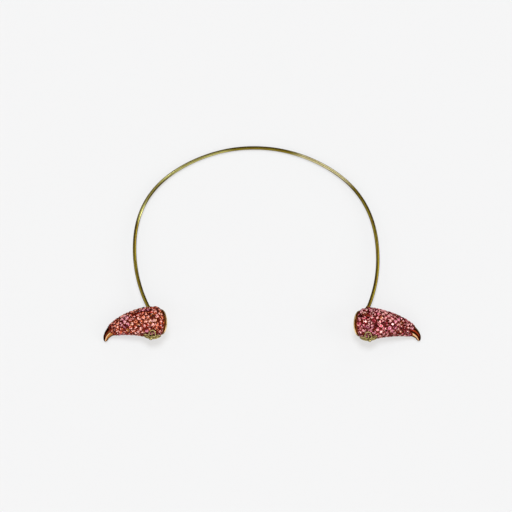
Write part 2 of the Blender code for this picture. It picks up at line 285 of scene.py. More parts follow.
class Horn:  # a horn's outside, as a function of the share along it and the angle round it
    def __init__(self, side):
        shape = hornSides[side]
        self.side = side
        self.outward = shape["outward"]
        self.length = shape["length"]
        self.width = shape["width"]
        self.drop = shape["drop"]
        self.wireEntry = shape["wireEntry"] / self.length
        self.base = Vector((0.0, 0.0, 0.0))
        end = bandPoint(-bandEndAngle() if self.outward > 0 else math.pi + bandEndAngle())
        seatIn = self.section(self.wireEntry)["width"] / 2 - shape["wireDepth"]
        self.base = Vector((end.x - self.outward * shape["wireEntry"], end.y - seatIn, 0.0)) + loopPlace
        steps = hornForm["travelSteps"]
        centres = [self.place(i / steps)["centre"].xy for i in range(steps + 1)]
        lengths = [(b - a).length for a, b in zip(centres, centres[1:])]
        self.travels = [sum(lengths[:i]) for i in range(steps + 1)]

    def shareAt(self, travel):
        return float(np.interp(travel, self.travels, np.linspace(0, 1, len(self.travels))))

    def section(self, share):
        knots = [row[0] for row in hornRows]
        drop, width, depth = (smoothBetween(knots, c, share) for c in list(zip(*hornRows))[1:])
        crest = depth * hornForm["depth"] * hornForm["crestShare"]
        belly = depth * hornForm["depth"] * (1 - hornForm["crestShare"])
        return {"drop": drop * self.drop, "width": width * self.width, "crest": crest, "belly": belly}

    def place(self, share):  # the section with its centre, and the ways to the tip and to the back
        step = hornForm["placeStep"]
        here = self.section(min(max(share, 0.0), 1.0))
        low, high = max(share - step, 0.0), min(share + step, 1.0)
        fall = self.section(high)["drop"] - self.section(low)["drop"]
        here["toTip"] = Vector((self.outward * (high - low) * self.length, -fall, 0.0)).normalized()
        here["toBack"] = Vector((-here["toTip"].y, here["toTip"].x, 0.0)) * self.outward
        height = here["belly"] - hornForm["bellyFlat"] + hornForm["tipLift"] * share**3
        here["centre"] = self.base + Vector((self.outward * share * self.length, -here["drop"], height))
        here["slant"] = math.tan(hornForm["baseSlant"]) * max(0.0, 1 - share / hornForm["slantReach"])
        return here

    def pointOn(self, place, angle, lift=0.0, shrink=1.0, push=0.0):
        halfHeight = place["crest"] if math.sin(angle) >= 0 else place["belly"]
        across = (place["width"] / 2 + lift) * shrink * math.cos(angle)
        rise = (halfHeight + lift) * shrink * math.sin(angle)
        rise = max(rise, max(0.0, -lift) - place["centre"].z)
        onward = place["toTip"] * (push - rise * place["slant"])
        return place["centre"] + place["toBack"] * across + onward + Vector((0.0, 0.0, rise))

    def ring(self, share, sides, **changes):
        place = self.place(share)
        return [self.pointOn(place, fullTurn * i / sides, **changes) for i in range(sides)]

    def seat(self, share, angle, lift=0.0):  # a point on the skin or over it, and the way straight out
        step = hornForm["seatStep"]
        low, high = self.place(share - step), self.place(share + step)
        middle = self.place(share)
        along = self.pointOn(high, angle) - self.pointOn(low, angle)
        around = self.pointOn(middle, angle + step) - self.pointOn(middle, angle - step)
        out = along.cross(around).normalized() * -self.outward
        return self.pointOn(middle, angle) + out * lift, out


# The stones' seats, packed from the rim to the tip and from the crest down both flanks
pave = {
    "diameter": 0.0025,
    "smallestShare": 0.78,
    "gap": 0.00025,
    "travelStep": 0.0002,
    "flankStep": math.radians(2),
    "rim": 0.0009,
    "bareTip": 0.0068,
    "flankReach": math.radians(12),
    "girdleLift": 0.00008,
    "cupDepth": 0.00045,
    "lipHeight": 0.00008,
    "lipReach": 1.12,
    "lipWidth": 0.10,
    "stoneGrowth": 1.05,
    "lean": math.radians(5),
    "spinSeed": 3,
    "glintSeed": 5,
}
sprig = {
    "wire": 0.0008,
    "along": 0.0060,
    "angle": math.radians(158),
    "boss": 0.0022,
    "over": 0.0012,
    "leafPoints": 40,
    "ribPoints": 8,
    "ribReach": 0.8,
    "bossSegments": 28,
    "bossLevels": 18,
    "sides": 12,
}
sprigLeaves = (
    {"direction": math.radians(24), "length": 0.0050, "width": 0.0027},
    {"direction": math.radians(88), "length": 0.0064, "width": 0.0032},
    {"direction": math.radians(148), "length": 0.0046, "width": 0.0027},
)


def paveSeats(horn):
    travel = pave["rim"] + pave["diameter"] / 2
    last = horn.travels[-1] - pave["bareTip"]
    turnCount = int((math.pi / 2 + pave["flankReach"]) / pave["flankStep"])
    hole = horn.pointOn(horn.place(horn.wireEntry), 0.0)
    boss = horn.pointOn(horn.place(sprig["along"] / horn.length), sprig["angle"])
    seats, middles = [], []
    while travel < last:
        place = horn.place(horn.shareAt(travel))
        fullness = min(place["width"] / horn.width, 1.0)
        diameter = pave["diameter"] * (pave["smallestShare"] + (1 - pave["smallestShare"]) * fullness)
        taken = [(hole, (diameter + band["diameter"]) / 2 + hornForm["clearance"])]
        taken.append((boss, (diameter + sprig["boss"]) / 2))
        taken += [(middle, (diameter + size) / 2 + pave["gap"]) for middle, size in middles]
        for i in range(turnCount):
            for angle in (math.pi / 2 + pave["flankStep"] * i, math.pi / 2 - pave["flankStep"] * i):
                here = horn.pointOn(place, angle)
                if all((here - middle).length >= reach for middle, reach in taken):
                    seats.append({"travel": travel, "angle": angle, "diameter": diameter, "middle": here})
                    middles.append((here, diameter))
                    taken.append((here, diameter + pave["gap"]))
        travel += pave["travelStep"]
    return seats


def addObject(name, content):
    added = bpy.data.objects.new(name, content)
    bpy.context.scene.collection.objects.link(added)
    return added


def finishMesh(name, mesh, slot, *nodes):  # a plain mesh as a piece of the tiara
    piece = addObject(name, mesh)
    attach(piece, rootBody)
    if nodes:
        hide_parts(*nodes)
    return piece


def grownMesh(name, seed, tree, inputs):  # what a tree grows on a seed object, as a plain mesh
    modifier = seed.modifiers.new(name, "NODES")
    modifier.node_group = tree
    for item in tree.interface.items_tree:
        if item.in_out == "INPUT" and item.name in inputs:
            modifier[item.identifier] = inputs[item.name]
    bpy.context.view_layer.update()
    grown = seed.evaluated_get(bpy.context.evaluated_depsgraph_get())
    mesh = bpy.data.meshes.new_from_object(grown)
    mesh.name = name
    bpy.data.objects.remove(seed)
    return mesh


def startTree(name, inputs):  # an empty tree: gives it, its nodes and its named inputs
    tree = bpy.data.node_groups.new(name, "GeometryNodeTree")
    for socketName, kind in (("Geometry", "NodeSocketGeometry"), *inputs):
        tree.interface.new_socket(name=socketName, in_out="INPUT", socket_type=kind)
    tree.interface.new_socket(name="Geometry", in_out="OUTPUT", socket_type="NodeSocketGeometry")
    nodes = Nodes(tree)
    entry = tree.nodes.new("NodeGroupInput")
    given = {socket.name: Link(nodes, socket) for socket in entry.outputs if socket.name}
    return tree, nodes, given


def endTree(tree, nodes, geometry, given):
    real = nodes.add("GeometryNodeRealizeInstances", None, {"Geometry": geometry})
    dressed = nodes.add("GeometryNodeSetMaterial", None, {"Geometry": real, "Material": given["Finish"]})
    leave = tree.nodes.new("NodeGroupOutput")
    nodes.feed(leave.inputs["Geometry"], dressed)


# Round wire along curves: the tree gives each point its place along the wire and round it
def roundWireTree():
    inputs = (
        ("Wire Diameter", "NodeSocketFloat"),
        ("Sides", "NodeSocketInt"),
        ("Finish", "NodeSocketMaterial"),
    )
    tree, nodes, given = startTree("roundWire", inputs)
    along = nodes.add("GeometryNodeSplineParameter", None, None, "Length")
    line = nodes.add(
        "GeometryNodeStoreNamedAttribute",
        {"data_type": "FLOAT", "domain": "POINT"},
        {"Geometry": given["Geometry"], "Name": "alongWire", "Value": along},
    )
    radius = given["Wire Diameter"] * 0.5
    circle = nodes.add(
        "GeometryNodeCurvePrimitiveCircle", None, {"Resolution": given["Sides"], "Radius": radius}
    )
    spot = nodes.add("GeometryNodeInputPosition")
    profile = nodes.add(
        "GeometryNodeStoreNamedAttribute",
        {"data_type": "FLOAT_VECTOR", "domain": "POINT"},
        {"Geometry": circle, "Name": "roundWire", "Value": spot},
    )
    tube = nodes.add(
        "GeometryNodeCurveToMesh", None, {"Curve": line, "Profile Curve": profile, "Fill Caps": True}
    )
    smooth = nodes.add("GeometryNodeSetShadeSmooth", None, {"Geometry": tube})
    endTree(tree, nodes, smooth, given)
    return tree


def curveSeed(name, paths, cyclic):
    curve = bpy.data.curves.new(name, "CURVE")
    curve.dimensions = "3D"
    for path, closed in zip(paths, cyclic):
        spline = curve.splines.new("POLY")
        spline.points.add(len(path) - 1)
        spline.use_cyclic_u = closed
        for target, point in zip(spline.points, path):
            target.co = (*point, 1.0)
    return addObject(name, curve)


# One brilliant-cut stone, a metre wide, with its girdle on Z = 0
brilliant = {
    "table": 0.56,
    "starReach": 0.78,
    "crown": 0.17,
    "starDrop": 0.26,
    "girdle": 0.03,
    "pavilion": 0.32,
}


def brilliantMesh():
    bm = bmesh.new()
    eighth = fullTurn / 8

    def wheel(count, radius, height, turn=0.0):
        turns = [fullTurn * i / count + turn for i in range(count)]
        return [bm.verts.new((radius * math.cos(t), radius * math.sin(t), height)) for t in turns]

    crown = brilliant["crown"]
    table = wheel(8, brilliant["table"] / 2, crown)
    stars = wheel(8, brilliant["starReach"] / 2, crown * (1 - brilliant["starDrop"]), eighth / 2)
    upper = wheel(16, 0.5, 0.0)
    lower = wheel(16, 0.5, -brilliant["girdle"])
    culet = bm.verts.new((0, 0, -brilliant["pavilion"]))
    for i in range(8):
        j = (i + 1) % 8
        bm.faces.new((table[i], stars[i], table[j]))
        bm.faces.new((table[i], stars[i - 1], upper[2 * i], stars[i]))
        bm.faces.new((stars[i], upper[2 * i], upper[2 * i + 1]))
        bm.faces.new((stars[i], upper[2 * i + 1], upper[(2 * i + 2) % 16]))
    bm.faces.new(table)
    for i in range(16):
        j = (i + 1) % 16
        bm.faces.new((upper[i], lower[i], lower[j], upper[j]))
        bm.faces.new((lower[i], culet, lower[j]))
    bmesh.ops.recalc_face_normals(bm, faces=bm.faces)
    mesh = bpy.data.meshes.new("brilliant")
    bm.to_mesh(mesh)
    bm.free()
    return mesh


# Copies of one stone on points that carry its size, its way out of the metal and its tint
def stoneTree():
    inputs = (
        ("Stone", "NodeSocketObject"),
        ("Spin Seed", "NodeSocketInt"),
        ("Glint Seed", "NodeSocketInt"),
        ("Lean", "NodeSocketFloat"),
        ("Finish", "NodeSocketMaterial"),
    )
    tree, nodes, given = startTree("paveStones", inputs)

    def named(name, kind):
        return nodes.add("GeometryNodeInputNamedAttribute", {"data_type": kind}, {"Name": name})

    def scatter(low, high, seed):
        return nodes.add(
            "FunctionNodeRandomValue", {"data_type": "FLOAT"}, {2: low, 3: high, "Seed": seed}, 1
        )

    stone = nodes.add("GeometryNodeObjectInfo", None, {"Object": given["Stone"]}, "Geometry")
    upright = nodes.add(
        "FunctionNodeAlignRotationToVector", {"axis": "Z"}, {"Vector": named("outward", "FLOAT_VECTOR")}
    )
    spin = nodes.add(
        "FunctionNodeAxisAngleToRotation",
        None,
        {"Axis": (0, 0, 1), "Angle": scatter(0.0, fullTurn, given["Spin Seed"])},
    )
    lean = nodes.add(
        "FunctionNodeAxisAngleToRotation",
        None,
        {"Axis": (1, 0, 0), "Angle": scatter(-1.0, 1.0, given["Glint Seed"]) * given["Lean"]},
    )
    spun = nodes.add(
        "FunctionNodeRotateRotation", {"rotation_space": "LOCAL"}, {"Rotation": upright, "Rotate By": spin}
    )
    leant = nodes.add(
        "FunctionNodeRotateRotation", {"rotation_space": "LOCAL"}, {"Rotation": spun, "Rotate By": lean}
    )
    copies = nodes.add(
        "GeometryNodeInstanceOnPoints",
        None,
        {
            "Points": given["Geometry"],
            "Instance": stone,
            "Rotation": leant,
            "Scale": named("size", "FLOAT"),
        },
    )
    real = nodes.add("GeometryNodeRealizeInstances", None, {"Geometry": copies})
    glints = nodes.add(
        "GeometryNodeStoreNamedAttribute",
        {"data_type": "FLOAT", "domain": "FACE"},
        {"Geometry": real, "Name": "glint", "Value": scatter(0.0, 1.0, given["Glint Seed"])},
    )
    endTree(tree, nodes, glints, given)
    return tree


# Round beads on points that carry their size
def grainTree():
    tree, nodes, given = startTree("grains", (("Finish", "NodeSocketMaterial"),))
    bead = nodes.add("GeometryNodeMeshIcoSphere", None, {"Radius": 0.5, "Subdivisions": 2})
    smooth = nodes.add("GeometryNodeSetShadeSmooth", None, {"Geometry": bead})
    size = nodes.add("GeometryNodeInputNamedAttribute", {"data_type": "FLOAT"}, {"Name": "size"})
    copies = nodes.add(
        "GeometryNodeInstanceOnPoints",
        None,
        {"Points": given["Geometry"], "Instance": smooth, "Scale": size},
    )
    endTree(tree, nodes, copies, given)
    return tree


def pointSeed(name, points, facts):  # loose points with an attribute for each fact
    mesh = bpy.data.meshes.new(name)
    mesh.from_pydata([tuple(p) for p in points], [], [])
    fields = {"FLOAT": "value", "FLOAT_VECTOR": "vector", "FLOAT_COLOR": "color"}
    for label, (kind, values) in facts.items():
        attribute = mesh.attributes.new(label, kind, "POINT")
        attribute.data.foreach_set(fields[kind], np.array(values, np.float32).ravel())
    return addObject(name, mesh)


# The band's plating is dull and dark, with painted highlights: bright stretches of plating along the wire.
# For each: from where to where along the wire, how much of the bright gold is painted there, and which gold
bandPlatingAndHighlights = {
    "paintedHighlights": (
        (0.083, 0.120, 0.70, "paleHighlightGold"),
        (0.162, 0.190, 0.64, "greenHighlightGold"),
        (0.190, 0.206, 0.97, "greenHighlightGold"),
        (0.206, 0.222, 0.30, "greenHighlightGold"),
        (0.221, 0.233, 1.00, "greenHighlightGold"),
    ),
    "edge": 0.005,
    "stretch": 0.04,
    "lineScale": 9000.0,
    "streakScale": 2600.0,
    "streakFade": (0.50, 0.64),
    "streaks": 0.4,
    "cloudScale": 160.0,
    "cloudFade": (0.40, 0.66),
    "roughness": (0.14, 0.12),
    "bump": (0.25, 0.00002),
    "paleHighlightGold": rgb(0.83, 0.80, 0.50),
    "greenHighlightGold": rgb(0.81, 0.83, 0.34),
    "olive": rgb(0.27, 0.225, 0.03),
    "brown": rgb(0.225, 0.16, 0.025),
}


def bandGold():
    finish = Finish("bandGold")
    around = finish.attribute("roundWire", "Vector")
    along = finish.attribute("alongWire")
    lengthways = finish.add("ShaderNodeCombineXYZ", None, {"Z": along * bandPlatingAndHighlights["stretch"]})
    drawn = finish.vector("ADD", around, lengthways)
    drawLines = finish.noise(drawn, bandPlatingAndHighlights["lineScale"], 4.0, 0.6)
    streaks = finish.noise(drawn, bandPlatingAndHighlights["streakScale"], 2.0, 0.5)
    cloud = finish.noise(finish.place(), bandPlatingAndHighlights["cloudScale"])
    clouded = finish.step(cloud, *bandPlatingAndHighlights["cloudFade"])
    colour = finish.mix(clouded, bandPlatingAndHighlights["olive"], bandPlatingAndHighlights["brown"])
    edge = bandPlatingAndHighlights["edge"]
    # painted highlights: bright stretches of plating along the wire
    for start, end, share, tone in bandPlatingAndHighlights["paintedHighlights"]:
        begun = finish.step(along, start - edge, start + edge)
        ended = finish.step(along, end - edge, end + edge)
        colour = finish.mix((begun - ended) * share, colour, bandPlatingAndHighlights[tone])
    dark = finish.step(streaks, *bandPlatingAndHighlights["streakFade"]) * bandPlatingAndHighlights["streaks"]
    colour = finish.mix(dark, colour, bandPlatingAndHighlights["brown"])
    finish.metal(colour, bandPlatingAndHighlights["roughness"], drawLines)
    finish.bump(drawLines, *bandPlatingAndHighlights["bump"])
    return finish.material


# A horn's metal is bare at its rim and past the stones, from so many stone radii off the nearest stone's
# middle. In the half with the tip its colour carries painted reflections: orange at the front, a painted
# cream highlight, a painted dark reflection on the back, and a painted pale highlight again at the very
# back edge.
# The ranges for that are of the flank attribute: the cosine of the angle round the horn, with the horn's
# back-shade shift added.
hornWearAndPaintedLight = {
    "bareFrom": 1.7,
    "bareFade": 0.5,
    "rimReach": 1.3,
    "rimFade": 0.5,
    "tipFrom": 0.5,
    "cloudScale": 260.0,
    "wander": 0.2,
    "creamHighlightFrom": (0.12, 0.34),
    "backShadeFrom": (0.42, 0.56),
    "edgeHighlightFrom": (1.42, 1.60),
    "edgeHighlight": 0.7,
    "orange": rgb(0.44, 0.17, 0.05),
    "creamHighlight": rgb(0.88, 0.62, 0.36),
    "backShade": rgb(0.09, 0.012, 0.003),
    "setting": rgb(0.24, 0.025, 0.012),
    "cup": rgb(0.08, 0.005, 0.003),
    "scratchScale": 4200.0,
    "roughness": (0.10, 0.2),
    "pavedScratches": 1.3,
    "bump": (0.2, 0.000006),
}


def hornGold():
    finish = Finish("hornGold")
    place = finish.place()
    bare = finish.attribute("bare")
    cup = finish.attribute("cup")
    flank = finish.attribute("flank")
    cloud = finish.noise(place, hornWearAndPaintedLight["cloudScale"])
    scratches = finish.noise(place, hornWearAndPaintedLight["scratchScale"], 5.0, 0.62)
    wander = flank + (cloud - 0.5) * hornWearAndPaintedLight["wander"]
    # painted reflections on the tip: a cream highlight, a dark back, and a pale highlight at the very back
    # edge
    creamHighlit = finish.step(wander, *hornWearAndPaintedLight["creamHighlightFrom"])
    polishedWithHighlight = finish.mix(creamHighlit, hornWearAndPaintedLight["orange"], hornWearAndPaintedLight["creamHighlight"])
    edgeHighlight = hornWearAndPaintedLight["edgeHighlight"] * finish.step(wander, *hornWearAndPaintedLight["edgeHighlightFrom"])
    backShade = finish.step(wander, *hornWearAndPaintedLight["backShadeFrom"]) * (1.0 - edgeHighlight)
    tipReflections = finish.mix(backShade, polishedWithHighlight, hornWearAndPaintedLight["backShade"])
    # painted shade: the metal between the stones is darker, and darkest deep in each cup
    shadedSetting = finish.mix(cup, hornWearAndPaintedLight["setting"], hornWearAndPaintedLight["cup"])
    colour = finish.mix(bare, shadedSetting, tipReflections)
    finish.metal(colour, hornWearAndPaintedLight["roughness"], scratches * (hornWearAndPaintedLight["pavedScratches"] - bare))
    finish.bump(scratches, *hornWearAndPaintedLight["bump"])
    return finish.material


# The small gold pieces: their clouds' scale and detail, and how these fade from one gold to the other
smallGolds = {
    "grainGold": {
        "clouds": (500.0, 3.0),
        "fade": (0.35, 0.65),
        "golds": (rgb(0.38, 0.08, 0.06), rgb(0.22, 0.025, 0.018)),
        "roughness": (0.16, 0.12),
        "bump": None,
    },
    "sprigGold": {
        "clouds": (700.0, 4.0),
        "fade": (0.4, 0.65),
        "golds": (rgb(0.62, 0.56, 0.26), rgb(0.26, 0.19, 0.06)),
        "roughness": (0.12, 0.16),
        "bump": (0.3, 0.00004),
    },
    "solderGold": {
        "clouds": (900.0, 4.0),
        "fade": (0.4, 0.65),
        "golds": (rgb(0.46, 0.22, 0.07), rgb(0.30, 0.11, 0.04)),
        "roughness": (0.22, 0.2),
        "bump": (0.4, 0.00006),
    },
}


def smallGold(name):
    look = smallGolds[name]
    finish = Finish(name)
    cloud = finish.noise(finish.place(), *look["clouds"])
    colour = finish.mix(finish.step(cloud, *look["fade"]), *look["golds"])
    finish.metal(colour, look["roughness"], cloud)
    if look["bump"]:
        finish.bump(cloud, *look["bump"])
    return finish.material


plateWear = {
    "stretch": (1.0, 0.06, 1.0),
    "brushScale": 9000.0,
    "cloudScale": 240.0,
    "fade": (0.4, 0.7),
    "golds": (rgb(0.95, 0.74, 0.38), rgb(0.84, 0.57, 0.25)),
    "roughness": (0.2, 0.18),
    "bump": (0.25, 0.00002),
}


def plateGold():
    finish = Finish("plateGold")
    sockets = {"Vector": finish.place(), "Scale": plateWear["stretch"]}
    stretched = finish.add("ShaderNodeMapping", None, sockets)
    brushed = finish.noise(stretched, plateWear["brushScale"], 4.0, 0.6)
    cloud = finish.noise(finish.place(), plateWear["cloudScale"])
    colour = finish.mix(finish.step(cloud, *plateWear["fade"]), *plateWear["golds"])
    finish.metal(colour, plateWear["roughness"], brushed)
    finish.bump(brushed, *plateWear["bump"])
    return finish.material


# Inside a cut stone each facet breaks up into shards, which throw the light their own ways. Each shard
# tilts the normal, and its colour, with each facet's glint, is painted: a dark reflection, the stone's own
# tint, or a sparkle.
shards = {
    "scale": 1050.0,
    "tilt": 1.05,
    "share": 0.7,
    "dark": (0.37, 0.45),
    "bright": (0.63, 0.68),
    "paintedDarkReflection": rgb(0.09, 0.004, 0.002),
    "paintedSparkle": rgb(1.0, 0.57, 0.56),
    "sparkleShare": 0.82,
}


def pinkCrystal():
    finish = Finish("pinkCrystal")
    tint = finish.attribute("tint", "Color")
    glint = finish.attribute("glint")
    shard = finish.cells(finish.place(), shards["scale"])
    chance = finish.add("ShaderNodeSeparateColor", None, {"Color": shard}, "Red")
    level = shards["share"] * chance + (1 - shards["share"]) * glint
    # painted dark reflections and painted sparkle in the shards' colours
    deep = finish.mix(1.0, tint, shards["paintedDarkReflection"], "MULTIPLY")
    sparkle = finish.mix(shards["sparkleShare"], tint, shards["paintedSparkle"])
    body = finish.mix(finish.step(level, *shards["dark"]), deep, tint)
    colour = finish.mix(finish.step(level, *shards["bright"]), body, sparkle)
    finish.set(Base_Color=colour, Metallic=0.4, Roughness=0.08, Coat_Weight=0.12)
    finish.set(Coat_Roughness=0.03, Coat_IOR=1.5, Specular_IOR_Level=0.2)
    straight = finish.add("ShaderNodeNewGeometry", None, None, "Normal")
    aside = finish.vector("SUBTRACT", shard, (0.5, 0.5, 0.5))
    turned = finish.vector("MULTIPLY_ADD", aside, (shards["tilt"],) * 3, straight)
    finish.set(Normal=finish.vector("NORMALIZE", turned))
    return finish.material


# The band
def makeBand(tree, finish):
    seed = curveSeed("bandWire", [[loopPlace + point for point in bandPath()]], [False])
    inputs = {"Wire Diameter": band["diameter"], "Sides": band["sides"], "Finish": finish}
    finishMesh("bandWire", grownMesh("bandWire", seed, tree, inputs), "gold", "band_wire")


# One closed skin with a pole at each end. A horn's runs out of its hollow, round the rim and on to the tip.
def shellMesh(name, outer, inner, poles):
    sides = len(outer[0])
    rings = [*inner[::-1], *outer]
    verts = [point for ring in rings for point in ring]
    faces = []
    for r in range(len(rings) - 1):
        for i in range(sides):
            j = (i + 1) % sides
            faces.append((r * sides + i, r * sides + j, (r + 1) * sides + j, (r + 1) * sides + i))
    for ringIndex, pole in ((0, poles["inner"]), (len(rings) - 1, poles["outer"])):
        start = ringIndex * sides
        faces += [(start + i, start + (i + 1) % sides, len(verts)) for i in range(sides)]
        verts.append(pole)
    mesh = bpy.data.meshes.new(name)
    mesh.from_pydata([tuple(v) for v in verts], [], faces)
    bm = bmesh.new()
    bm.from_mesh(mesh)
    bmesh.ops.recalc_face_normals(bm, faces=bm.faces)
    bm.to_mesh(mesh)
    bm.free()
    mesh.shade_smooth()
    return mesh


# The horn's skin with a cup drilled for each stone and a raised lip round it. Gives the skin's points, how
# many radii each lies from the nearest stone's middle, and how deep in a cup it is.
def drilledSkin(horn, seats, shares):
    skin = np.array([[p[:] for p in horn.ring(share, hornForm["sides"])] for share in shares])
    along = np.gradient(skin, axis=0)
    around = np.roll(skin, -1, axis=1) - np.roll(skin, 1, axis=1)
    out = np.cross(along, around) * -horn.outward
    out /= np.linalg.norm(out, axis=2, keepdims=True)
    middles = np.array([seat["middle"][:] for seat in seats])
    radii = np.array([seat["diameter"] / 2 for seat in seats])
    away = np.linalg.norm(skin[:, :, None, :] - middles[None, None], axis=3) / radii
    nearest = away.min(axis=2)
    cup = np.clip(1 - nearest**2, 0, 1)
    lip = np.exp(-(((nearest - pave["lipReach"]) / pave["lipWidth"]) ** 2))
    skin += out * (pave["lipHeight"] * lip - pave["cupDepth"] * cup)[:, :, None]
    return skin, nearest, cup


def makeHornBody(horn, seats, finish):
    sides = hornForm["sides"]
    travels = np.linspace(0, horn.travels[-1], hornForm["rings"])
    shares = [horn.shareAt(travel) for travel in travels]
    skin, nearest, cup = drilledSkin(horn, seats, shares)
    reach = horn.section(1.0)["width"] / 2
    outer = skin.tolist()
    for i in range(1, hornForm["noseRings"] + 1):  # the nose tapers on as the horn does, and rounds off
        turn = math.pi / 2 * i / (hornForm["noseRings"] + 0.5)
        shrink = math.cos(turn) * (1 - hornForm["noseTaper"] * math.sin(turn))
        outer.append(horn.ring(1.0, sides, shrink=shrink, push=reach * math.sin(turn)))
    tip = horn.place(1.0)
    wall = hornForm["wall"]
    inner = []
    for i in range(hornForm["cavityRings"] + 1):
        share = hornForm["cavityReach"] * i / hornForm["cavityRings"]
        inner.append(horn.ring(share, sides, lift=-wall))
    poles = {
        "inner": horn.place(hornForm["cavityReach"])["centre"],
        "outer": horn.pointOn(tip, 0.0, shrink=0.0, push=reach),
    }
    mesh = shellMesh("hornBody_" + horn.side, outer, inner, poles)

    # how bare the metal is, how deep in a cup it lies, and how far round to the back flank with its painted
    # dark reflection
    facing = np.cos(np.arange(sides) * fullTurn / sides) + hornSides[horn.side]["backShadeShift"]
    ringShares = np.array([0.0] * len(inner) + shares + [1.0] * hornForm["noseRings"])
    flank = np.where(ringShares[:, None] > hornWearAndPaintedLight["tipFrom"], facing, 0.0).ravel()
    flank = np.concatenate([flank, [0.0, 0.0]])
    ringCount = len(inner) * sides
    noseCount = hornForm["noseRings"] * sides
    bare = np.clip((nearest - hornWearAndPaintedLight["bareFrom"]) / hornWearAndPaintedLight["bareFade"], 0, 1)
    rimmed = pave["rim"] * hornWearAndPaintedLight["rimReach"] - travels
    rimmed = np.clip(rimmed / (pave["rim"] * hornWearAndPaintedLight["rimFade"]), 0, 1)
    bare = np.maximum(bare, rimmed[:, None]).ravel()
    bare = np.concatenate([np.ones(ringCount), bare, np.ones(noseCount + 2)])
    deep = np.concatenate([np.zeros(ringCount), np.sqrt(cup.ravel()), np.zeros(noseCount + 2)])
    for label, values in (("bare", bare), ("cup", deep), ("flank", flank)):
        attribute = mesh.attributes.new(label, "FLOAT", "POINT")
        attribute.data.foreach_set("value", np.array(values, np.float32))
    mesh.materials.append(finish)
    return finishMesh("hornBody_" + horn.side, mesh, "pink_pave", "horn_" + horn.side)


# Stone tints: the left horn's are more coppery, the right horn's more of a rose
stoneTints = {
    "left": (
        (0.32, (0.78, 0.136, 0.060)),
        (0.26, (0.90, 0.245, 0.128)),
        (0.32, (0.50, 0.042, 0.014)),
        (0.10, (0.54, 0.17, 0.030)),
    ),
    "right": (
        (0.36, (0.56, 0.086, 0.138)),
        (0.27, (0.65, 0.145, 0.22)),
        (0.30, (0.32, 0.018, 0.041)),
        (0.07, (0.42, 0.11, 0.037)),
    ),
}
mauve = {"tint": (0.68, 0.19, 0.31), "scale": 130.0, "level": 0.16}


def pickTint(draw, side, middle):
    if noise.noise(Vector(middle) * mauve["scale"]) > mauve["level"]:
        return (*mauve["tint"], 1.0)
    shares, tints = zip(*stoneTints[side])
    return (*tints[draw.choice(len(tints), p=shares)], 1.0)


def makeStones(horn, seats, tree, unit, finish):
    draw = np.random.RandomState(hornSides[horn.side]["tintSeed"])
    spots, outs, sizes, tints = [], [], [], []
    for seat in seats:
        spot, out = horn.seat(horn.shareAt(seat["travel"]), seat["angle"], pave["girdleLift"])
        spots.append(spot)
        outs.append(out[:])
        sizes.append(seat["diameter"] * pave["stoneGrowth"])
        tints.append(pickTint(draw, horn.side, spot))
    facts = {
        "outward": ("FLOAT_VECTOR", outs),
        "size": ("FLOAT", sizes),
        "tint": ("FLOAT_COLOR", tints),
    }
    name = "paveStones_" + horn.side
    inputs = {
        "Stone": unit,
        "Spin Seed": pave["spinSeed"],
        "Glint Seed": pave["glintSeed"],
        "Lean": pave["lean"],
        "Finish": finish,
    }
    finishMesh(name, grownMesh(name, pointSeed(name, spots, facts), tree, inputs), "pink_crystal")


# The beads that hold the stones, one in each gap between them that has room for it
grain = {
    "smallest": 0.00034,
    "largest": 0.00080,
    "sink": 0.00002,
    "apart": 0.0008,
    "gap": 0.00010,
    "pastStones": math.radians(8),
    "turns": 190,
    "travelStep": 0.00022,
}


def makeGrains(horn, seats, tree, finish):
    middles = np.array([seat["middle"][:] for seat in seats])
    radii = np.array([seat["diameter"] / 2 for seat in seats])
    reach = math.pi / 2 + pave["flankReach"] + grain["pastStones"]
    angles = np.linspace(math.pi / 2 - reach, math.pi / 2 + reach, grain["turns"])
    start, end = pave["rim"], horn.travels[-1] - pave["bareTip"] + pave["diameter"]
    found = []
    for travel in np.arange(start, end, grain["travelStep"]):
        share = horn.shareAt(travel)
        place = horn.place(share)
        points = np.array([horn.pointOn(place, angle)[:] for angle in angles])
        room = (np.linalg.norm(points[:, None] - middles[None], axis=2) - radii).min(axis=1)
        for angle, point, space in zip(angles, points, room):
            if grain["smallest"] / 2 < space + grain["gap"] and space < grain["largest"]:
                found.append((space, share, angle, point))
    found.sort(key=lambda row: -row[0])
    spots, sizes = [], []
    kept = np.zeros((0, 3))
    hole = np.array(horn.pointOn(horn.place(horn.wireEntry), 0.0)[:])
    for space, share, angle, point in found:
        if np.linalg.norm(point - hole) < band["diameter"]:
            continue
        if len(kept) and np.linalg.norm(kept - point, axis=1).min() < grain["apart"]:
            continue
        kept = np.vstack([kept, point])
        spots.append(horn.seat(share, angle, -grain["sink"])[0])
        sizes.append(min(2 * (space + grain["gap"]), grain["largest"]))
    name = "grains_" + horn.side
    seed = pointSeed(name, spots, {"size": ("FLOAT", sizes)})
    finishMesh(name, grownMesh(name, seed, tree, {"Finish": finish}), "pink_pave")


def cappedMesh(name, rings):  # a closed smooth skin over rings of points, with a flat cap at each end
    bm = bmesh.new()
    loops = [[bm.verts.new(point) for point in ring] for ring in rings]
    for low, high in zip(loops, loops[1:]):
        for i in range(len(low)):
            j = (i + 1) % len(low)
            bm.faces.new((low[i], low[j], high[j], high[i]))
    bm.faces.new(loops[0])
    bm.faces.new(loops[-1])
    bmesh.ops.recalc_face_normals(bm, faces=bm.faces)
    mesh = bpy.data.meshes.new(name)
    bm.to_mesh(mesh)
    bm.free()
    mesh.shade_smooth()
    return mesh


# The plate that closes a horn's base
plate = {
    "thickness": 0.0008,
    "overhang": 0.0003,
    "rounding": 0.00025,
    "edgeRings": 5,
    "sides": 168,
    "sharpFrom": math.radians(50),
}


